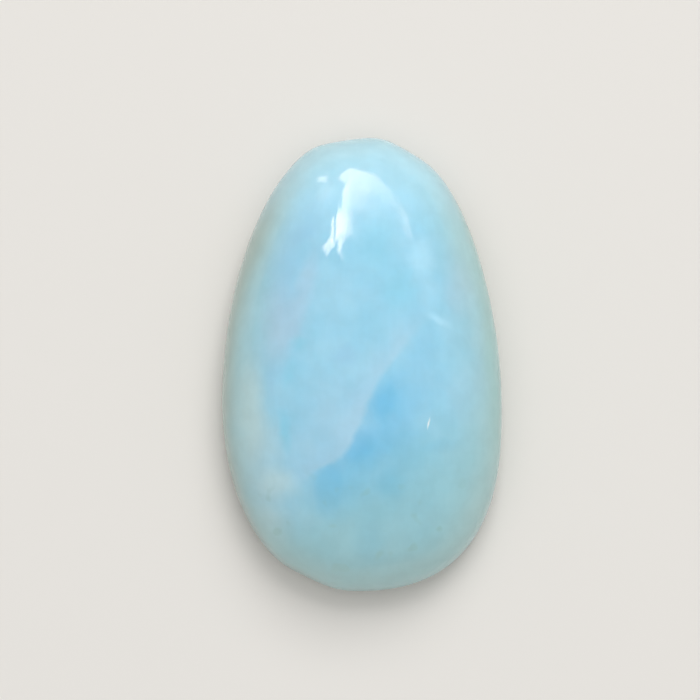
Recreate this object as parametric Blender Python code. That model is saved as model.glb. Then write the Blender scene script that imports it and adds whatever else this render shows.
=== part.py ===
"""Larimar cabochon: one polished stone, egg-shaped in outline, domed above and flat behind.

The stone lies on its flat back. X runs across it, Y towards its narrow end and Z out of the dome. The
origin is on the ground, under the middle of its box. Lengths are in metres.
"""

from math import radians
from typing import NamedTuple

import bmesh
import bpy
import numpy as np

# Overall size
LENGTH = 0.0250
WIDTH = 0.01535
THICKNESS = 0.0068

# Outline: the share of the length above the widest line, and of the width left of the nose's line
NOSE_SHARE = 0.582
LEFT_SHARE = 0.456

# Powers of the cosine and the sine in each quarter of the outline, where 1 and 1 draw an ellipse.
# A cosine power under 1 widens the quarter near its end, and a sine power under 1 squares its corner.
NOSE_LEFT = (1.04, 1.04)
NOSE_RIGHT = (0.74, 1.19)
BASE_LEFT = (0.93, 0.98)
BASE_RIGHT = (0.79, 0.72)

# Section, from the back up: a bevel, a short side wall that leans out to the girdle, and the dome
BACK_BEVEL = 0.00045
WALL_LEAN = 0.00010
GIRDLE_HEIGHT = 0.00105
DOME_RUN_POWER = 2.25
DOME_RISE_POWER = 2.05
APEX_BELOW_MIDDLE = 0.0013

# How fast the flats at the girdle fade out up the dome
FLAT_FADE_POWER = 5
# How softly a flat runs out into the curve beside it
FLAT_EDGE = 0.0003

# Fineness of the mesh
SEGMENTS = 104
DOME_RINGS = 24

# Polished larimar
LARIMAR_SRGB = (0x9C, 0xD2, 0xE6)
LARIMAR_ROUGHNESS = 0.12
LARIMAR_IOR = 1.6


class Flat(NamedTuple):
    """A straight place that the grinding wheel left on the outline."""

    facing: float  # degrees anticlockwise from +X
    depth: float


FLATS = (
    Flat(facing=60, depth=0.00017),
    Flat(facing=99, depth=0.00032),
    Flat(facing=245, depth=0.00017),
)


def linear(srgb):
    """An 8-bit sRGB colour as linear light."""
    share = np.array(srgb) / 255
    return np.where(share <= 0.04045, share / 12.92, ((share + 0.055) / 1.055) ** 2.4)


def egg():
    """The outline before the flats: x and y follow powers of the cosine and sine of one turn."""
    turn = np.arange(SEGMENTS) * 2 * np.pi / SEGMENTS
    across, along = np.cos(turn), np.sin(turn)
    left, base = across < 0, along < 0
    quarters = [base & left, base & ~left, ~base & left, ~base & ~left]
    powers = [BASE_LEFT, BASE_RIGHT, NOSE_LEFT, NOSE_RIGHT]
    across_power = np.select(quarters, [power[0] for power in powers])
    along_power = np.select(quarters, [power[1] for power in powers])
    x_reach = WIDTH * np.where(left, LEFT_SHARE, 1 - LEFT_SHARE)
    y_reach = LENGTH * np.where(base, 1 - NOSE_SHARE, NOSE_SHARE)
    x = x_reach * np.sign(across) * np.abs(across) ** across_power
    y = y_reach * np.sign(along) * np.abs(along) ** along_power
    return np.column_stack([x, y])


def ground(outline):
    """The outline with its flats: what stands past each flat's line is taken back to it."""
    for flat in FLATS:
        normal = np.array([np.cos(radians(flat.facing)), np.sin(radians(flat.facing))])
        reach = outline @ normal
        past = reach - (reach.max() - flat.depth)
        taken = 0.5 * (past + np.hypot(past, FLAT_EDGE))
        outline = outline - np.outer(taken, normal)
    return outline


def fitted(outline, low, high):
    """The outline stretched so that the corners low and high land on those of the stated size."""
    size = np.array([WIDTH, LENGTH])
    return ((outline - low) / (high - low) - 0.5) * size


def outward(outline):
    """The direction straight out of the closed outline at each of its points."""
    tangent = np.roll(outline, -1, axis=0) - np.roll(outline, 1, axis=0)
    normal = np.column_stack([tangent[:, 1], -tangent[:, 0]])
    return normal / np.linalg.norm(normal, axis=1, keepdims=True)


def at_height(outline, height):
    return np.column_stack([outline, np.full(len(outline), height)])


def stone_rings():
    """The rings of points from the edge of the flat back up to just under the apex."""
    plain = egg()
    cut = ground(plain)
    low, high = cut.min(axis=0), cut.max(axis=0)
    plain, girdle = fitted(plain, low, high), fitted(cut, low, high)
    normal = outward(girdle)
    rings = [
        at_height(girdle - normal * (BACK_BEVEL + WALL_LEAN), 0),
        at_height(girdle - normal * WALL_LEAN, BACK_BEVEL),
        at_height(girdle, GIRDLE_HEIGHT),
    ]
    apex = np.array([0, -APEX_BELOW_MIDDLE])
    rise = THICKNESS - GIRDLE_HEIGHT
    for ring in range(1, DOME_RINGS):
        tilt = 0.5 * np.pi * ring / DOME_RINGS
        run = np.cos(tilt) ** (2 / DOME_RUN_POWER)
        height = GIRDLE_HEIGHT + rise * np.sin(tilt) ** (2 / DOME_RISE_POWER)
        shape = plain + (girdle - plain) * run**FLAT_FADE_POWER
        rings.append(at_height(apex + (shape - apex) * run, height))
    return rings


def cabochon_mesh():
    """The rings skinned together, with one flat face behind and a fan at the apex."""
    stone = bmesh.new()
    rings = [[stone.verts.new(point) for point in ring] for ring in stone_rings()]
    stone.faces.new(reversed(rings[0]))
    for lower, upper in zip(rings, rings[1:]):
        for here in range(SEGMENTS):
            after = (here + 1) % SEGMENTS
            stone.faces.new((lower[here], lower[after], upper[after], upper[here]))
    apex = stone.verts.new((0, -APEX_BELOW_MIDDLE, THICKNESS))
    for here in range(SEGMENTS):
        stone.faces.new((rings[-1][here], rings[-1][(here + 1) % SEGMENTS], apex))
    mesh = bpy.data.meshes.new("cabochon")
    stone.to_mesh(mesh)
    stone.free()
    mesh.shade_smooth()
    mesh.set_sharp_from_angle(angle=radians(25))
    return mesh


def larimar():
    """Blue pectolite polished to a wet gloss."""
    material = bpy.data.materials.new("larimar")
    material.use_nodes = True
    shader = material.node_tree.nodes["Principled BSDF"]
    shader.inputs["Base Color"].default_value = (*linear(LARIMAR_SRGB), 1)
    shader.inputs["Roughness"].default_value = LARIMAR_ROUGHNESS
    shader.inputs["Metallic"].default_value = 0
    shader.inputs["IOR"].default_value = LARIMAR_IOR
    return material


def clear_scene():
    for thing in list(bpy.data.objects):
        bpy.data.objects.remove(thing)


def main():
    clear_scene()
    mesh = cabochon_mesh()
    mesh.materials.append(larimar())
    bpy.context.collection.objects.link(bpy.data.objects.new("cabochon", mesh))


main()
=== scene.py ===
"""A larimar cabochon dressed for its portrait: the polished stone, its markings and a plain stage.

The stone lies on its flat back. X runs across it, Y towards its narrow end and Z out of the dome, and the
origin is on the ground under the middle of its box. Lengths are in metres unless a name says otherwise.
"""

from math import cos, pi, radians, sin
from typing import NamedTuple

import bpy
import numpy as np
from bpy.props import FloatProperty, FloatVectorProperty, IntProperty, PointerProperty
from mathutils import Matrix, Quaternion, Vector


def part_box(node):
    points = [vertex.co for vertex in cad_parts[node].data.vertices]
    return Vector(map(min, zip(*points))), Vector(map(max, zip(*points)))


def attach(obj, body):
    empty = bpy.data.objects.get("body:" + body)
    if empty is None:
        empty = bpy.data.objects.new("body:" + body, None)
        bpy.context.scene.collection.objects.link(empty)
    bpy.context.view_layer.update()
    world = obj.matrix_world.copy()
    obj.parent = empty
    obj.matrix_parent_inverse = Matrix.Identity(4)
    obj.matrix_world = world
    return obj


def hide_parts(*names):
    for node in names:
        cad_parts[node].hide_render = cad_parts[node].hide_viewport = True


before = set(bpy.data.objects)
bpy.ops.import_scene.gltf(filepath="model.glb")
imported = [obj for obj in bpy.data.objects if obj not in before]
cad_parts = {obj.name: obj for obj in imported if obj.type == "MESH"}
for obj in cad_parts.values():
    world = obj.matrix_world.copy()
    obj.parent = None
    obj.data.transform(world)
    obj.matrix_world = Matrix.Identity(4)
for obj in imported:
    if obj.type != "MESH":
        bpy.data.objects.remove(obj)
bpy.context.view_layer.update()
LOW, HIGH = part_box("cabochon")

bl_info = {
    "name": "Larimar cabochon",
    "version": (1, 0, 0),
    "blender": (4, 5, 0),
    "location": "3D View > Sidebar > Cabochon",
    "description": "Makes a polished larimar cabochon and a plain stage for it",
    "category": "Object",
}

MM = 0.001


def linear(hex_colour):
    """An sRGB hex colour such as "9CD2E6" as linear red, green and blue."""
    share = np.array([int(hex_colour[place : place + 2], 16) for place in (0, 2, 4)]) / 255
    light = np.where(share <= 0.04045, share / 12.92, ((share + 0.055) / 1.055) ** 2.4)
    return tuple(float(part) for part in light)


def length(name, description, default):
    return FloatProperty(name=name, description=description, default=default, min=0, subtype="DISTANCE", unit="LENGTH")


def factor(name, description, default):
    return FloatProperty(name=name, description=description, default=default, min=0, max=1, subtype="FACTOR")


def colour(name, description, hex_colour):
    return FloatVectorProperty(
        name=name, description=description, default=linear(hex_colour), min=0, max=1, subtype="COLOR"
    )


# The shape of the stone


class Flat(NamedTuple):
    """A straight place that the grinding wheel left on the outline."""

    facing: float  # degrees anticlockwise from +X
    depth: float


FLATS = (
    Flat(facing=60, depth=0.00017),
    Flat(facing=99, depth=0.00032),
    Flat(facing=245, depth=0.00017),
)
FLAT_EDGE = 0.0003
FLAT_FADE_POWER = 5

# Powers of the cosine and the sine in each quarter of the outline, where 1 and 1 draw an ellipse
NOSE_LEFT = (1.04, 1.04)
NOSE_RIGHT = (0.74, 1.19)
BASE_LEFT = (0.93, 0.98)
BASE_RIGHT = (0.79, 0.72)


class StoneShape(bpy.types.PropertyGroup):
    """The cut of the stone."""

    across: length("Width", "Across the stone at its widest", HIGH.x - LOW.x)
    along: length("Length", "From the wide end to the narrow end", HIGH.y - LOW.y)
    thick: length("Thickness", "From the flat back to the top of the dome", HIGH.z - LOW.z)
    nose_share: factor("Nose share", "Share of the length above the widest line", 0.582)
    left_share: factor("Left share", "Share of the width left of the line through the nose", 0.456)
    bevel: length("Back bevel", "Width and height of the bevel round the flat back", 0.00045)
    lean: length("Wall lean", "How far the side wall leans out from the bevel to the girdle", 0.0001)
    girdle: length("Girdle height", "Height of the widest line above the flat back", 0.00105)
    run_power: FloatProperty(name="Dome run", description="Power of the run of the dome", default=2.25)
    rise_power: FloatProperty(name="Dome rise", description="Power of the rise of the dome", default=2.05)
    apex_below: length("Apex offset", "How far the top lies towards the wide end", 0.0013)
    edge_round: length("Edge rounding", "How much of the section each eased edge takes up", 0.00022)
    turns: IntProperty(name="Points round", description="Points in each ring of the mesh", default=440, min=24)
    ring_gap: length("Ring gap", "Distance between rings up the side and over the dome", 0.000076)
    back_ring_gap: length("Back ring gap", "Distance between rings on the flat back", 0.0004)


def egg(turn, shape):
    """The outline before its flats: x and y follow powers of the cosine and sine of the turn, quarter by quarter."""
    across, along = np.cos(turn), np.sin(turn)
    left, base = across < 0, along < 0
    quarters = [base & left, base & ~left, ~base & left, ~base & ~left]
    powers = [BASE_LEFT, BASE_RIGHT, NOSE_LEFT, NOSE_RIGHT]
    across_power = np.select(quarters, [power[0] for power in powers])
    along_power = np.select(quarters, [power[1] for power in powers])
    x_reach = shape.across * np.where(left, shape.left_share, 1 - shape.left_share)
    y_reach = shape.along * np.where(base, 1 - shape.nose_share, shape.nose_share)
    x = x_reach * np.sign(across) * np.abs(across) ** across_power
    y = y_reach * np.sign(along) * np.abs(along) ** along_power
    return np.column_stack([x, y])


def ground(outline):
    """The outline with its flats: what stands past each flat's line is taken back to it, softly at the ends."""
    for flat in FLATS:
        normal = np.array([cos(radians(flat.facing)), sin(radians(flat.facing))])
        reach = outline @ normal
        past = reach - (reach.max() - flat.depth)
        outline = outline - np.outer(0.5 * (past + np.hypot(past, FLAT_EDGE)), normal)
    return outline


def outlines(turn, shape):
    """The plain egg and the ground girdle, both stretched so that the girdle has the stated width and length."""
    plain = egg(turn, shape)
    cut = ground(plain)
    low, high = cut.min(axis=0), cut.max(axis=0)
    size = np.array([shape.across, shape.along])
    return tuple(((line - low) / (high - low) - 0.5) * size for line in (plain, cut))


def outward(outline):
    """The direction straight out of the closed outline at each of its points."""
    tangent = np.roll(outline, -1, axis=0) - np.roll(outline, 1, axis=0)
    normal = np.column_stack([tangent[:, 1], -tangent[:, 0]])
    return normal / np.linalg.norm(normal, axis=1, keepdims=True)


def section(shape):
    """Run, inset and height from the middle of the back, over the bevel, wall and dome, to the apex.

    The run is the share of the way out from the axis and the inset is taken off straight in from the
    outline. The dome's run and height are powers of the cosine and sine of one angle. The whole line is
    drawn finely, averaged over a short stretch to ease its edges, and read at the rings' distances.
    """
    back = shape.bevel + shape.lean
    share = np.linspace(0, 1, 1500)
    tilt = 0.5 * pi * share
    straight = np.ones_like(share)
    runs = [share, straight, straight, np.cos(tilt) ** (2 / shape.run_power)]
    insets = [back * straight, back - shape.bevel * share, shape.lean * (1 - share), 0 * share]
    heights = [
        0 * share,
        shape.bevel * share,
        shape.bevel + (shape.girdle - shape.bevel) * share,
        shape.girdle + (shape.thick - shape.girdle) * np.sin(tilt) ** (2 / shape.rise_power),
    ]
    line = np.stack([np.concatenate(part) for part in (runs, insets, heights)])
    radius = 0.5 * shape.across
    step = np.hypot(np.diff(line[0] * radius - line[1]), np.diff(line[2]))
    way = np.concatenate([[0], np.cumsum(step)])
    fine_gap = shape.edge_round / 20
    fine = np.arange(0, way[-1], fine_gap)
    fine_line = np.stack([np.interp(fine, way, part) for part in line])
    kernel = np.hanning(23)[1:-1]
    padded = np.pad(fine_line, ((0, 0), (10, 10)), mode="reflect", reflect_type="odd")
    eased = np.stack([np.convolve(part, kernel / kernel.sum(), "valid") for part in padded])
    edge = radius - back
    back_rings = np.arange(shape.back_ring_gap, edge - shape.edge_round, shape.back_ring_gap)
    side_rings = np.arange(edge - shape.edge_round, fine[-1] - shape.ring_gap, shape.ring_gap)
    return [np.interp(np.concatenate([back_rings, side_rings]), fine, part) for part in eased]


def stone_surface(shape):
    """The points of the stone, ring by ring from the back to the apex.

    A ring is the outline drawn in towards the axis by its run, less its inset, at its height. The flats of
    the girdle fade out up the dome with a power of the run.
    """
    turn = np.arange(shape.turns) * 2 * pi / shape.turns
    plain, girdle = outlines(turn, shape)
    run, inset, height = (part[:, None, None] for part in section(shape))
    axis = np.array([0, -shape.apex_below])
    outline = plain + (girdle - plain) * run**FLAT_FADE_POWER
    flat_points = axis + (outline - axis - outward(girdle) * inset) * run
    heights = np.broadcast_to(height, (*flat_points.shape[:2], 1))
    return np.concatenate([flat_points, heights], axis=2)


def surface_normals(points):
    """The outward direction at each point of the rings, from the differences to the points around it."""
    round_way = np.roll(points, -1, axis=1) - np.roll(points, 1, axis=1)
    up_way = np.gradient(points, axis=0)
    normal = np.cross(round_way, up_way)
    return normal / np.linalg.norm(normal, axis=2, keepdims=True)


# The polish


class Polish(bpy.types.PropertyGroup):
    """The unevenness that polishing by hand leaves, too slight to see but for its reflections."""

    wave_count: IntProperty(name="Waves", description="Number of waves laid over each other", default=24, min=1)
    shortest: length("Shortest wave", "Distance between crests of the shortest wave", 0.0009)
    longest: length("Longest wave", "Distance between crests of the longest wave", 0.0035)
    steepness: FloatProperty(name="Steepness", description="Typical slope of all the waves together", default=0.018)
    seed: IntProperty(name="Seed", description="Chooses the waves' directions", default=2)


def polish_waves(points, polish):
    """How far the polish lies under the true shape: waves of equal slope in random directions through space."""
    draw = np.random.default_rng(polish.seed)
    direction = draw.normal(size=(polish.wave_count, 3))
    direction /= np.linalg.norm(direction, axis=1, keepdims=True)
    wave_length = np.geomspace(polish.shortest, polish.longest, polish.wave_count)
    start = draw.uniform(0, 2 * pi, polish.wave_count)
    phase = points @ (direction * (2 * pi / wave_length)[:, None]).T + start
    height = polish.steepness * np.sqrt(2 / polish.wave_count) * wave_length / (2 * pi)
    return (np.sin(phase) * height).sum(axis=-1)


def polished(points, shape, polish):
    """The points moved along their normals by the polish's waves, which fade out below the girdle."""
    above = np.clip((points[..., 2] - shape.girdle) / shape.girdle, 0, 1)
    depth = polish_waves(points, polish) * above**2 * (3 - 2 * above)
    return points + surface_normals(points) * depth[..., None]


def closed_mesh(name, points, bottom, top):
    """The rings skinned into a mesh that a fan of triangles closes at each end."""
    rings, turns = points.shape[:2]
    here = np.arange(turns)
    after = np.roll(here, -1)
    start = np.arange(rings - 1)[:, None] * turns
    quads = np.stack([start + here, start + after, start + turns + after, start + turns + here], axis=2)
    bottom_point, top_point = rings * turns, rings * turns + 1
    last = (rings - 1) * turns
    bottom_fan = np.stack([after, here, np.full(turns, bottom_point)], axis=1)
    top_fan = np.stack([last + here, last + after, np.full(turns, top_point)], axis=1)
    vertices = np.concatenate([points.reshape(-1, 3), [bottom, top]])
    mesh = bpy.data.meshes.new(name)
    mesh.from_pydata(vertices, [], [*quads.reshape(-1, 4).tolist(), *bottom_fan.tolist(), *top_fan.tolist()])
    mesh.shade_smooth()
    mesh.validate()
    return mesh


# The look of the stone


class Marking(NamedTuple):
    """A soft-edged patch of one tint, an oval in plan that the clouding then bends.

    A patch that is cut lies against the sharp side of the vein and goes no further.
    """

    tint: str
    x_mm: float
    y_mm: float
    half_width_mm: float
    half_length_mm: float
    turn: float  # degrees anticlockwise
    strength: float
    cut: bool = False
    softness: float = 1.0


MARKINGS = (
    # The broad blue past the vein, and its pools, each a crisp patch in a softer one
    Marking("deep", 1.0, -6.1, 2.6, 2.9, 0, 0.40, cut=True),
    Marking("deep", 2.2, -2.2, 1.3, 2.2, -10, 0.26, cut=True),
    Marking("deep", 3.2, 0.3, 0.8, 1.2, -25, 0.12, cut=True),
    Marking("deep", 1.00, -2.60, 1.20, 1.35, -12, 0.42, cut=True, softness=1.25),
    Marking("deep", 1.20, -2.65, 0.50, 0.95, -14, 0.28, cut=True, softness=0.7),
    Marking("deep", 0.10, -5.05, 1.25, 0.80, 20, 0.40, cut=True, softness=1.2),
    Marking("deep", -0.20, -4.95, 0.80, 0.60, 40, 0.30, cut=True, softness=0.7),
    Marking("deep", -1.45, -7.20, 1.15, 1.75, 0, 0.34, cut=True, softness=1.1),
    Marking("deep", -1.80, -7.15, 0.70, 1.50, -4, 0.30, cut=True, softness=0.5),
    Marking("deep", 1.50, -6.85, 0.75, 0.70, 0, 0.48),
    Marking("deep", 0.30, -9.90, 0.80, 1.20, 0, 0.58),
    Marking("deep", 4.05, -4.85, 1.00, 0.35, 8, 0.18),
    # Darker and violet blue at the upper left
    Marking("sky", -4.20, 4.60, 0.95, 2.60, -6, 0.38),
    Marking("sky", -3.00, 6.30, 1.00, 0.50, 20, 0.28),
    Marking("sky", -2.80, 7.90, 1.10, 1.60, -40, 0.22),
    Marking("sky", -0.90, -0.20, 0.60, 0.50, 0, 0.30),
    # Green-blue towards the narrow end
    Marking("turquoise", 0.80, 5.80, 1.10, 1.60, 0, 0.40),
    Marking("turquoise", 1.90, 3.40, 0.90, 1.20, 0, 0.40),
    Marking("turquoise", 3.30, 9.10, 0.90, 1.10, 0, 0.40),
    Marking("turquoise", 4.70, 7.20, 1.00, 1.00, 0, 0.45),
    Marking("turquoise", 3.10, 7.10, 0.60, 0.80, 0, 0.25),
    # Threads of blue down the left side
    Marking("turquoise", -4.05, -4.10, 0.30, 0.95, 6, 0.55),
    Marking("turquoise", -3.75, -1.00, 0.28, 0.75, -8, 0.28),
    Marking("turquoise", -3.45, 0.40, 0.42, 0.42, 0, 0.60),
    Marking("sky", -4.65, -1.30, 0.25, 0.90, 0, 0.15),
    # Lilac, between the vein and the left side and at the upper right
    Marking("lilac", -1.60, -3.60, 1.60, 2.60, -35, 0.18),
    Marking("lilac", -4.35, 1.60, 0.95, 1.90, 0, 0.50, softness=1.25),
    Marking("lilac", -3.00, 3.40, 0.45, 2.20, -14, 0.36, softness=1.2),
    Marking("lilac", 5.20, 3.80, 0.80, 1.30, 0, 0.36, softness=1.2),
    # Chalky patches
    Marking("chalk", -5.95, -3.10, 0.75, 2.80, 0, 0.75),
    Marking("chalk", -5.10, -4.90, 0.80, 1.80, 0, 0.35),
    Marking("chalk", -4.60, -6.80, 1.10, 0.80, -10, 0.65),
    Marking("chalk", -4.80, -8.90, 0.90, 1.50, 15, 0.55),
    Marking("light", 3.15, 5.05, 0.70, 1.00, 0, 0.80, softness=0.8),
    Marking("light", 3.50, 3.00, 0.50, 1.00, 0, 0.30),
    Marking("light", 3.95, 1.72, 0.24, 0.62, 62, 0.80),
    Marking("light", 4.40, 1.30, 0.70, 0.70, 0, 0.30),
    # Painted highlight: a pale patch at the narrow end where the window's reflection begins
    Marking("chalk", -0.90, 10.9, 0.35, 0.80, 10, 0.50),
    Marking("chalk", 5.60, -8.60, 1.50, 2.20, -25, 0.40),
    # A scratch drawn as its painted glint: a near-white dash in the colour
    Marking("scratch_glint", 3.44, -3.63, 0.035, 0.28, -10, 0.90),
)


class Vein(NamedTuple):
    """A milky vein from the lower left to the upper right. It starts at x and y, and its middle bows to its right."""

    x_mm: float = -3.02
    y_mm: float = -6.63
    heading: float = 53.7  # degrees anticlockwise from +X
    long_mm: float = 11.5
    bow_mm: float = 0.85
    bow_at_mm: float = 2.6
    bow_rise_mm: float = 2.6
    bow_fall_mm: float = 4.2
    sharp_mm: float = 0.45
    soft_mm: float = 1.5
    strength: float = 0.26


class Change(NamedTuple):
    """A change of tint that grows in one direction through the stone, between two places along it."""

    tint: str
    towards: tuple  # (x, y, z), and a steeper z counts a height for more
    start_mm: float
    end_mm: float
    strength: float


CHANGES = (
    # Lighter towards the narrow end: partly the stone's clear blue, partly painted light where the lamps at that end
    # fall
    Change("light", (0, 1, 0), 4.0, 11.0, 0.65),
    Change("shade", (0, -1, 0), 6.0, 12.0, 0.60),
    Change("moss", (0.5, -0.86, 0), 3.4, 8.0, 0.40),
    # Painted reflection: greyer green towards both sides and down the dome, where the steep stone shows its
    # surroundings and the light through it
    Change("edge", (0.98, 0.12, 0), 3.6, 6.6, 0.42),
    Change("edge", (-0.98, 0.16, 0), 3.6, 6.8, 0.45),
    Change("edge", (0, 0.03, -1), -5.4, -3.2, 0.60),
    # Painted shade and reflection: a darker grey-green band at the girdle, strongest on the left
    Change("painted_rim_shade", (-0.16, 0.10, -1), -3.6, -1.4, 0.85),
    # Painted light: the narrow end made lighter again over the edge and rim tints, where the light falls
    Change("light", (0, 1, 0), 6.0, 11.0, 0.55),
    # Painted reflection: a greener strip along the right rim
    Change("moss", (1, 0.12, 0), 6.0, 7.2, 0.50),
)


class Larimar(bpy.types.PropertyGroup):
    """Blue pectolite, polished on the dome and lapped on the back."""

    base: colour("Base", "The stone between its markings", "98CFE4")
    cloud: colour("Cloud", "The lighter clouding in the base", "A2D3E6")
    # Also laid on as painted light, lighter towards the narrow end where the lamps fall
    light: colour("Light blue", "The clear blue at the narrow end", "B1E0F2")
    turquoise: colour("Turquoise", "The greener blue of patches and threads", "86CFE4")
    sky: colour("Sky blue", "The greyer, more violet blue", "94C1DF")
    deep: colour("Deep blue", "The blue of the pools", "66BCE2")
    lilac: colour("Lilac", "The faint violet by the vein", "B8CADD")
    milk: colour("Milk", "The crest of the vein", "BED4E6")
    chalk: colour("Chalk", "The whitest patches", "C6DEDF")
    # Painted highlight: the glint of a scratch, laid into the colour
    scratch_glint: colour("Scratch", "A scratch in the polish", "F2F6F6")
    shade: colour("Base tone", "The greyer stone at the wide end", "BCE4EE")
    # Also used for a painted reflection along the right rim
    moss: colour("Green tone", "The greener stone at the lower right", "96C4BE")
    # Painted reflection: the grey-green of the steep sides, laid into the colour
    edge: colour("Edge", "The stone where the dome steepens", "A9C9C6")
    # Painted shade and reflection at the girdle, darker on the left
    painted_rim_shade: colour("Rim", "The thin stone at the girdle", "A0B4AC")
    speck: colour("Specks", "The dark specks of the wide end", "86AFAE")
    clouding: length("Clouding", "Typical distance between clouds", 0.0030)
    mottling: length("Mottling", "Typical distance between the finest mottles", 0.0010)
    fibre: length("Fibres", "Width of the fibres that the crystals grew in", 0.00028)
    speckling: length("Speckling", "Typical distance between specks", 0.0011)
    roughness: factor("Roughness", "Roughness of the polish", 0.05)
    back_roughness: factor("Back roughness", "Roughness of the lapped back", 0.42)
    lap_depth: length("Lap marks", "Depth of the marks that lapping left on the back", 0.000012)
    index: FloatProperty(name="IOR", description="Refractive index of pectolite", default=1.6)
    scattering: factor("Scattering", "Share of the light that enters the stone", 0.6)
    scatter_reach: length("Scatter reach", "How far light travels inside the stone", 0.0011)


TINTS = (
    "base", "cloud", "light", "turquoise", "sky", "deep", "lilac", "milk", "chalk", "scratch_glint", "shade", "moss",
    "edge", "painted_rim_shade", "speck",
)


def left_on(sockets, name):
    """The socket of that name, or at that place, among those that a node's settings leave on."""
    on = [socket for socket in sockets if socket.enabled]
    return on[name] if isinstance(name, int) else next(socket for socket in on if socket.name == name)


def add(tree, kind, inputs=(), **settings):
    """Adds a node, makes its settings, and fills its inputs from values, sockets or other nodes' first outputs."""
    node = tree.nodes.new(kind)
    for name, value in settings.items():
        setattr(node, name, value)
    for name, value in dict(inputs).items():
        if isinstance(value, bpy.types.Node):
            value = left_on(value.outputs, 0)
        if isinstance(value, bpy.types.NodeSocket):
            tree.links.new(value, left_on(node.inputs, name))
        else:
            left_on(node.inputs, name).default_value = value
    return node


def ease(value, low, high, to_low=0.0, to_high=1.0):
    """The inputs of a Map Range node that takes a value from low and high to the two ends given."""
    return {"Value": value, "From Min": low, "From Max": high, "To Min": to_low, "To Max": to_high}


def bent(tree, place, per_mm, reach_mm):
    """A place in millimetres pushed about by soft noise, as far as reach_mm."""
    push = add(tree, "ShaderNodeTexNoise", {"Vector": place, "Scale": per_mm, "Detail": 2.0}).outputs["Color"]
    middle = add(tree, "ShaderNodeVectorMath", {0: push, 1: (0.5, 0.5, 0.5)}, operation="SUBTRACT")
    scaled = add(tree, "ShaderNodeVectorMath", {0: middle, "Scale": 2 * reach_mm}, operation="SCALE")
    return add(tree, "ShaderNodeVectorMath", {0: place, 1: scaled}, operation="ADD")


def vein_amounts(tree, place, vein):
    """How milky the vein is at a place, and whether the place lies past its sharp right side.

    Along the vein, its line bows out to the right by a smooth step up and another down. The milk falls off
    slowly to the left of that line and fades at both ends.
    """
    inputs = {
        "Vector": place,
        "Location": (vein.x_mm, vein.y_mm, 0),
        "Rotation": (0, 0, radians(vein.heading)),
    }
    own = add(tree, "ShaderNodeMapping", inputs, vector_type="TEXTURE")
    parts = add(tree, "ShaderNodeSeparateXYZ", {"Vector": own})
    along, left = parts.outputs["X"], parts.outputs["Y"]
    peak = vein.bow_at_mm
    steps = [
        ease(along, peak - vein.bow_rise_mm, peak, 0.0, vein.bow_mm),
        ease(along, peak, peak + vein.bow_fall_mm, 1.0, 0.1),
    ]
    up, down = [add(tree, "ShaderNodeMapRange", step, interpolation_type="SMOOTHSTEP") for step in steps]
    bow = add(tree, "ShaderNodeMath", {0: up, 1: down}, operation="MULTIPLY")
    aside = add(tree, "ShaderNodeMath", {0: left, 1: bow}, operation="ADD")
    past = ease(aside, 0.5 * vein.sharp_mm, -0.5 * vein.sharp_mm)
    fades = [
        ease(aside, -0.5 * vein.sharp_mm, 0.5 * vein.sharp_mm),
        ease(aside, 0.0, vein.soft_mm, vein.strength, 0.0),
        ease(along, -1.0, 1.0),
        ease(along, 0.7 * vein.long_mm, vein.long_mm, 1.0, 0.0),
    ]
    milky = 1.0
    for fade in fades:
        share = add(tree, "ShaderNodeMapRange", fade, interpolation_type="SMOOTHSTEP")
        milky = add(tree, "ShaderNodeMath", {0: milky, 1: share}, operation="MULTIPLY")
    return milky, add(tree, "ShaderNodeMapRange", past, interpolation_type="SMOOTHSTEP")


def marking_amount(tree, place, marking, past_vein):
    """How much of a marking's tint shows: most in the middle of its oval, less outwards, none past its edge."""
    inputs = {
        "Vector": place,
        "Location": (marking.x_mm, marking.y_mm, 0),
        "Rotation": (0, 0, radians(marking.turn)),
        "Scale": (marking.half_width_mm, marking.half_length_mm, 1000),
    }
    own = add(tree, "ShaderNodeMapping", inputs, vector_type="TEXTURE")
    away = add(tree, "ShaderNodeVectorMath", {0: own}, operation="LENGTH")
    blur = 0.7 * marking.softness
    soft = ease(away, 0.9 - blur, 0.9 + blur, marking.strength, 0.0)
    amount = add(tree, "ShaderNodeMapRange", soft, interpolation_type="SMOOTHSTEP")
    if not marking.cut:
        return amount
    return add(tree, "ShaderNodeMath", {0: amount, 1: past_vein}, operation="MULTIPLY")


def change_amount(tree, place, change):
    """How much of a change's tint shows: a smooth step along its direction."""
    reach = add(tree, "ShaderNodeVectorMath", {0: place, 1: change.towards}, operation="DOT_PRODUCT")
    step = ease(reach.outputs["Value"], change.start_mm, change.end_mm, 0.0, change.strength)
    return add(tree, "ShaderNodeMapRange", step, interpolation_type="SMOOTHSTEP")


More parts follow.
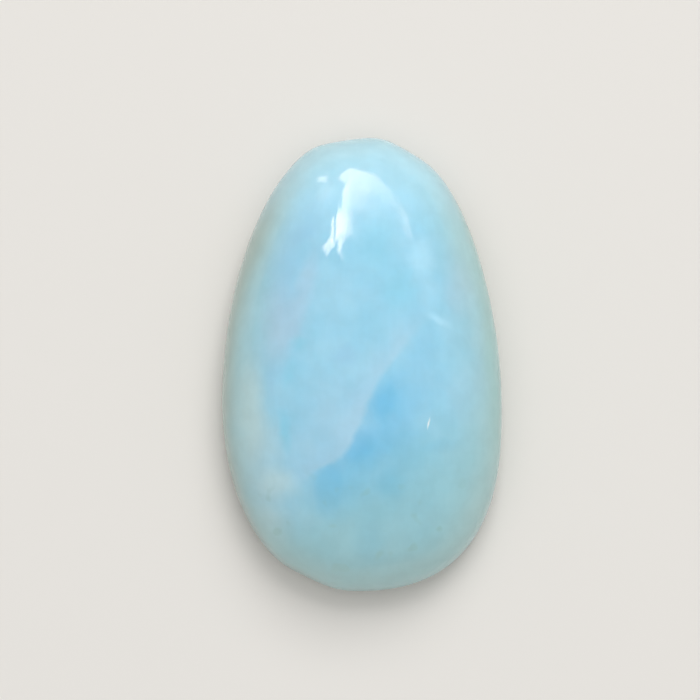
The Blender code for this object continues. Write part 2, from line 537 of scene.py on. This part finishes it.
def larimar_material(larimar, shape):
    """Larimar, a blue pectolite: fibrous and cloudy, cut and polished on a pad to a wet gloss.

    The clouds, the milky vein and the blue pools lie inside the stone, so they are soft-edged, and light
    enters it a little way. Greyer and greener tints towards the girdle are painted shade, reflection and light
    through the thin stone, darkest on the left, and the narrow end is partly painted light. The back has the
    stone's colours too, but it is only lapped, which leaves it dull, with fine marks.
    """
    material = bpy.data.materials.new("polished_larimar")
    material.use_nodes = True
    tree = material.node_tree
    tints = {name: (*getattr(larimar, name), 1) for name in TINTS}

    # Places on the stone in millimetres, plain and bent by the clouding
    position = add(tree, "ShaderNodeTexCoord").outputs["Object"]
    place = add(tree, "ShaderNodeVectorMath", {0: position, "Scale": 1 / MM}, operation="SCALE")
    height = add(tree, "ShaderNodeSeparateXYZ", {"Vector": place}).outputs["Z"]
    cloud_place = bent(tree, place, 0.22, 0.5)
    mark_place = bent(tree, bent(tree, place, 0.45, 0.3), 1.3, 0.16)

    # Clouds between the base blue and a lighter one, then the vein and the markings over them
    grain = {"Vector": cloud_place, "Scale": MM / larimar.clouding, "Detail": 3.0, "Roughness": 0.5}
    clouds = ease(add(tree, "ShaderNodeTexNoise", grain), 0.35, 0.65)
    milky, past_vein = vein_amounts(tree, mark_place, Vein())
    layers = [(add(tree, "ShaderNodeMapRange", clouds, interpolation_type="SMOOTHSTEP"), "cloud")]
    layers += [(marking_amount(tree, mark_place, one, past_vein), one.tint) for one in MARKINGS]
    layers += [(milky, "milk")]

    # Specks in the wide end, drawn larger than the real grains so that they show
    grain = {"Vector": place, "Scale": MM / larimar.speckling, "Detail": 1.0}
    specks = ease(add(tree, "ShaderNodeTexNoise", grain), 0.62, 0.72, 0.0, 0.6)
    dots = add(tree, "ShaderNodeMapRange", specks, interpolation_type="SMOOTHSTEP")
    low_down = change_amount(tree, place, Change("speck", (0, -1, 0), 5.5, 9.5, 1.0))
    layers += [(add(tree, "ShaderNodeMath", {0: dots, 1: low_down}, operation="MULTIPLY"), "speck")]

    # The changes towards the sides and down the dome, among them painted light, shade and reflection, kept off the
    # middle of the back
    bevel_top = shape.bevel / MM
    half_size = {0: position, 1: (2 / shape.across, 2 / shape.along, 0)}
    oval = add(tree, "ShaderNodeVectorMath", half_size, operation="MULTIPLY")
    out = add(tree, "ShaderNodeVectorMath", {0: oval}, operation="LENGTH")
    nearness = [ease(out, 0.75, 1.05), ease(height, 0.3 * bevel_top, bevel_top)]
    near_edge, above_back = [
        add(tree, "ShaderNodeMapRange", step, interpolation_type="SMOOTHSTEP") for step in nearness
    ]
    outside = add(tree, "ShaderNodeMath", {0: near_edge, 1: above_back}, operation="MAXIMUM")
    for change in CHANGES:
        amount = change_amount(tree, cloud_place, change)
        layers += [(add(tree, "ShaderNodeMath", {0: amount, 1: outside}, operation="MULTIPLY"), change.tint)]

    look = tints["base"]
    for amount, tint in layers:
        look = add(tree, "ShaderNodeMix", {"Factor": amount, "A": look, "B": tints[tint]}, data_type="RGBA")

    # Mottles, and fibres along the stone, lighter and darker by a few parts in a hundred
    drawn_out = {"Vector": mark_place, "Rotation": (0, 0, radians(12)), "Scale": (1, 0.12, 0.5)}
    fibres = add(tree, "ShaderNodeMapping", drawn_out, vector_type="POINT")
    tones = ((mark_place, larimar.mottling, 0.975, 1.022), (fibres, larimar.fibre, 0.994, 1.006))
    for where, spacing, darker, lighter in tones:
        grain = {"Vector": where, "Scale": MM / spacing, "Detail": 2.0, "Roughness": 0.5}
        tone = ease(add(tree, "ShaderNodeTexNoise", grain), 0.3, 0.7, darker, lighter)
        share = add(tree, "ShaderNodeMapRange", tone, interpolation_type="SMOOTHSTEP")
        look = add(tree, "ShaderNodeVectorMath", {0: look, "Scale": share}, operation="SCALE")

    # The dull back, with lap marks that run straight across it
    dulling = ease(height, 0.3 * bevel_top, 1.6 * bevel_top, larimar.back_roughness, larimar.roughness)
    roughness = add(tree, "ShaderNodeMapRange", dulling, interpolation_type="SMOOTHSTEP")
    across = {"Vector": place, "Rotation": (0, 0, radians(-20)), "Scale": (9, 0.35, 1)}
    marks = add(tree, "ShaderNodeTexNoise", {"Vector": add(tree, "ShaderNodeMapping", across), "Scale": 1.0})
    on_back = add(tree, "ShaderNodeMapRange", ease(height, 0.2 * bevel_top, bevel_top, larimar.lap_depth, 0.0))
    depth = add(tree, "ShaderNodeMath", {0: marks, 1: on_back}, operation="MULTIPLY")
    bump = add(tree, "ShaderNodeBump", {"Height": depth, "Distance": 1.0, "Strength": 1.0})

    shader = tree.nodes["Principled BSDF"]
    for name, node in (("Base Color", look), ("Roughness", roughness), ("Normal", bump)):
        tree.links.new(left_on(node.outputs, 0), shader.inputs[name])
    shader.inputs["IOR"].default_value = larimar.index
    shader.inputs["Subsurface Weight"].default_value = larimar.scattering
    shader.inputs["Subsurface Radius"].default_value = (1.0, 1.15, 1.2)
    shader.inputs["Subsurface Scale"].default_value = larimar.scatter_reach
    return material


class CABOCHON_OT_stone(bpy.types.Operator):
    """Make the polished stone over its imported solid"""

    bl_idname = "cabochon.make_stone"
    bl_label = "Make the stone"

    def execute(self, context):
        shape, polish, larimar = context.scene.stone_shape, context.scene.polish, context.scene.larimar
        points = polished(stone_surface(shape), shape, polish)
        bottom, top = (0, -shape.apex_below, 0), (0, -shape.apex_below, points[-1, :, 2].mean())
        mesh = closed_mesh("polished_cabochon", points, bottom, top)
        mesh.materials.append(larimar_material(larimar, shape))
        stone = bpy.data.objects.new("polished_cabochon", mesh)
        context.scene.collection.objects.link(stone)
        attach(stone, "root")
        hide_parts("cabochon")
        return {"FINISHED"}


# The stage


class Stage(bpy.types.PropertyGroup):
    """The floor, the lights and the camera."""

    floor: colour("Floor", "A pale, matt surface", "DEDBD6")
    room: colour("Room", "The light that comes from all round", "FFFFFF")
    room_light: FloatProperty(name="Room light", description="Strength of the light from all round", default=0.44)
    sky_light: FloatProperty(name="Sky light", description="Brightness of the broad light overhead", default=0.52)
    key_light: FloatProperty(name="Key light", description="Brightness of the soft light at the narrow end", default=3.9)
    window: colour("Window", "The colour of the window's light", "FFE4D7")
    window_light: FloatProperty(name="Window light", description="Brightness of the window strip", default=8.6)
    elevation: FloatProperty(
        name="Camera elevation", description="Angle above the floor", default=radians(84), subtype="ANGLE", unit="ROTATION"
    )
    distance: length("Camera distance", "From the lens to the middle of the stone", 0.0936)


PICTURE_WIDTH = 700
FOCAL_PIXELS = 1700
STONE_IN_PICTURE = (361.8, 362)
SENSOR = 36


def area_light(name, centre, aim, size, radiance, turn=0.0):
    """A rectangular lamp that faces a point. Its power is four times its radiance times its area."""
    lamp = bpy.data.lights.new(name, "AREA")
    lamp.shape = "RECTANGLE"
    lamp.size, lamp.size_y = size
    lamp.energy = 4 * radiance * size[0] * size[1]
    thing = bpy.data.objects.new(name, lamp)
    thing.location = centre
    thing.rotation_mode = "QUATERNION"
    facing = (Vector(aim) - Vector(centre)).to_track_quat("-Z", "Y")
    thing.rotation_quaternion = facing @ Quaternion((0, 0, 1), turn)
    thing.visible_camera = False
    bpy.context.scene.collection.objects.link(thing)
    return thing


class Pane(NamedTuple):
    """A lit pane past the narrow end that only the polish shows. Its places are for a wall one metre away."""

    name: str
    x: float
    z: float
    wide: float
    high: float
    lean: float  # degrees to the right
    brightness: float
    soft: tuple  # shares of the pane over which its left, right, lower and upper edges fade


PANES = (
    # The window from its slanting foot up, then its tip and the two slits beside it
    Pane("window_foot", -0.038, 0.41, 0.33, 0.26, -49, 0.50, (0.12, 0.88, 0.25, 0.18)),
    Pane("window_top", -0.05, 0.75, 0.30, 0.82, -14, 0.62, (0.12, 0.88, 0.38, 0.55)),
    Pane("window_low", -0.170, 1.10, 0.38, 0.70, -12, 0.98, (0.09, 0.91, 0.60, 0.20)),
    Pane("window_tip", -0.32, 1.51, 0.13, 0.34, -22, 0.75, (0.25, 0.45, 0.20, 0.40)),
    Pane("slit_low", -0.440, 1.21, 0.09, 0.38, -6, 0.66, (0.20, 0.30, 0.25, 0.20)),
    Pane("slit_high", -0.635, 1.45, 0.24, 0.54, -58, 0.66, (0.15, 0.15, 0.15, 0.25)),
    # Fainter light round the window: two stretches of a slanting arc, a patch inside it, a haze and a spot
    Pane("arc_high", 0.21, 0.64, 0.40, 0.86, 53, 0.30, (0.90, 0.25, 0.25, 0.60)),
    Pane("patch", 0.12, 0.80, 0.50, 0.80, 12, 0.14, (0.35, 0.65, 0.40, 0.60)),
    Pane("arc_low", 0.68, 0.89, 0.28, 0.98, 42, 0.20, (0.80, 0.25, 0.45, 0.35)),
    Pane("haze", -0.55, 0.55, 0.55, 0.55, 0, 0.12, (0.50, 0.30, 0.50, 0.50)),
    Pane("spot", -0.48, 0.27, 0.34, 0.16, -28, 0.34, (0.40, 0.30, 0.30, 0.30)),
)
PANE_DISTANCE = 0.5
PANE_GAP = 0.002


def pane_light(pane, distance, colour, radiance):
    """One pane of the window. Its emission fades towards each edge along the pane's own two directions."""
    centre = Vector((pane.x, 1, pane.z)) * distance
    size = (pane.wide * distance, pane.high * distance)
    thing = area_light(pane.name, centre, centre - Vector((0, 1, 0)), size, 1, radians(pane.lean))
    thing.visible_diffuse = False
    lamp = thing.data
    lamp.color = colour
    lamp.use_nodes = True
    tree = lamp.node_tree
    emission = tree.nodes["Emission"]
    across = add(tree, "ShaderNodeSeparateXYZ", {0: add(tree, "ShaderNodeNewGeometry").outputs["Parametric"]})
    ends = ((0, 1, 1 - pane.soft[0]), (0, 0, pane.soft[1]), (1, 0, pane.soft[2]), (1, 1, 1 - pane.soft[3]))
    brightness = pane.brightness * radiance
    for axis, low, high in ends:
        fade = ease(across.outputs[axis], low, high)
        edge = add(tree, "ShaderNodeMapRange", fade, interpolation_type="SMOOTHSTEP")
        brightness = add(tree, "ShaderNodeMath", {0: brightness, 1: edge}, operation="MULTIPLY")
    tree.links.new(brightness.outputs[0], emission.inputs["Strength"])


class CABOCHON_OT_stage(bpy.types.Operator):
    """Make the floor, the lights and the camera"""

    bl_idname = "cabochon.make_stage"
    bl_label = "Make the stage"

    def execute(self, context):
        stage = context.scene.stage
        make_floor(context.scene, stage)
        make_lights(context.scene, stage)
        make_camera(context.scene, stage)
        return {"FINISHED"}


def make_floor(scene, stage):
    """A level sheet, matt like painted board."""
    reach = 1.5
    corners = [(-reach, -reach, 0), (reach, -reach, 0), (reach, reach, 0), (-reach, reach, 0)]
    mesh = bpy.data.meshes.new("floor")
    mesh.from_pydata(corners, [], [(0, 1, 2, 3)])
    material = bpy.data.materials.new("matt_board")
    material.use_nodes = True
    shader = material.node_tree.nodes["Principled BSDF"]
    shader.inputs["Base Color"].default_value = (*stage.floor, 1)
    shader.inputs["Roughness"].default_value = 0.9
    mesh.materials.append(material)
    floor = bpy.data.objects.new("floor", mesh)
    floor.location.z = -0.00001
    scene.collection.objects.link(floor)


def make_lights(scene, stage):
    world = bpy.data.worlds.new("room")
    world.use_nodes = True
    background = world.node_tree.nodes["Background"]
    background.inputs["Color"].default_value = (*stage.room, 1)
    background.inputs["Strength"].default_value = stage.room_light
    scene.world = world
    key = area_light("key", (0.09, 0.37, 0.46), (0, 0, 0), (0.35, 0.35), stage.key_light)
    sky = area_light("sky", (0, 0, 0.8), (0, 0, 0), (1.2, 1.2), stage.sky_light)
    for lamp in (key, sky):
        lamp.visible_glossy = False
    for place, pane in enumerate(PANES):
        pane_light(pane, PANE_DISTANCE + place * PANE_GAP, stage.window, stage.window_light)


def make_camera(scene, stage):
    """A camera that looks down on the stone and keeps it where it stands in the picture."""
    lens = bpy.data.cameras.new("camera")
    lens.sensor_width = SENSOR
    lens.lens = SENSOR * FOCAL_PIXELS / PICTURE_WIDTH
    lens.clip_start, lens.clip_end = 0.005, 10
    camera = bpy.data.objects.new("camera", lens)
    back = Vector((0, -cos(stage.elevation), sin(stage.elevation)))
    up = Vector((0, sin(stage.elevation), cos(stage.elevation)))
    off_x, off_y = (STONE_IN_PICTURE[0] - PICTURE_WIDTH / 2, STONE_IN_PICTURE[1] - PICTURE_WIDTH / 2)
    per_pixel = stage.distance / FOCAL_PIXELS
    aim = Vector((0, 0, scene.stone_shape.girdle)) + (up * off_y - Vector((off_x, 0, 0))) * per_pixel
    camera.location = aim + back * stage.distance
    camera.rotation_mode = "QUATERNION"
    camera.rotation_quaternion = (-back).to_track_quat("-Z", "Y")
    scene.collection.objects.link(camera)
    scene.camera = camera
    scene.view_settings.view_transform = "Standard"


class CABOCHON_PT_panel(bpy.types.Panel):
    """Lists the pieces and the values that shape them"""

    bl_idname = "CABOCHON_PT_panel"
    bl_label = "Larimar cabochon"
    bl_space_type = "VIEW_3D"
    bl_region_type = "UI"
    bl_category = "Cabochon"

    def draw(self, context):
        layout = self.layout
        for operator, groups in STEPS:
            box = layout.box()
            box.operator(operator)
            for group in groups:
                values = getattr(context.scene, group)
                for name in values.bl_rna.properties.keys():
                    if name not in ("rna_type", "name"):
                        box.prop(values, name)


STEPS = (
    ("cabochon.make_stone", ("stone_shape", "polish", "larimar")),
    ("cabochon.make_stage", ("stage",)),
)
GROUPS = {"stone_shape": StoneShape, "polish": Polish, "larimar": Larimar, "stage": Stage}
CLASSES = (*GROUPS.values(), CABOCHON_OT_stone, CABOCHON_OT_stage, CABOCHON_PT_panel)


def register():
    for cls in CLASSES:
        bpy.utils.register_class(cls)
    for name, group in GROUPS.items():
        setattr(bpy.types.Scene, name, PointerProperty(type=group))


def unregister():
    for name in GROUPS:
        delattr(bpy.types.Scene, name)
    for cls in reversed(CLASSES):
        bpy.utils.unregister_class(cls)


def main():
    register()
    bpy.ops.cabochon.make_stone()
    bpy.ops.cabochon.make_stage()


if __name__ == "__main__":
    main()
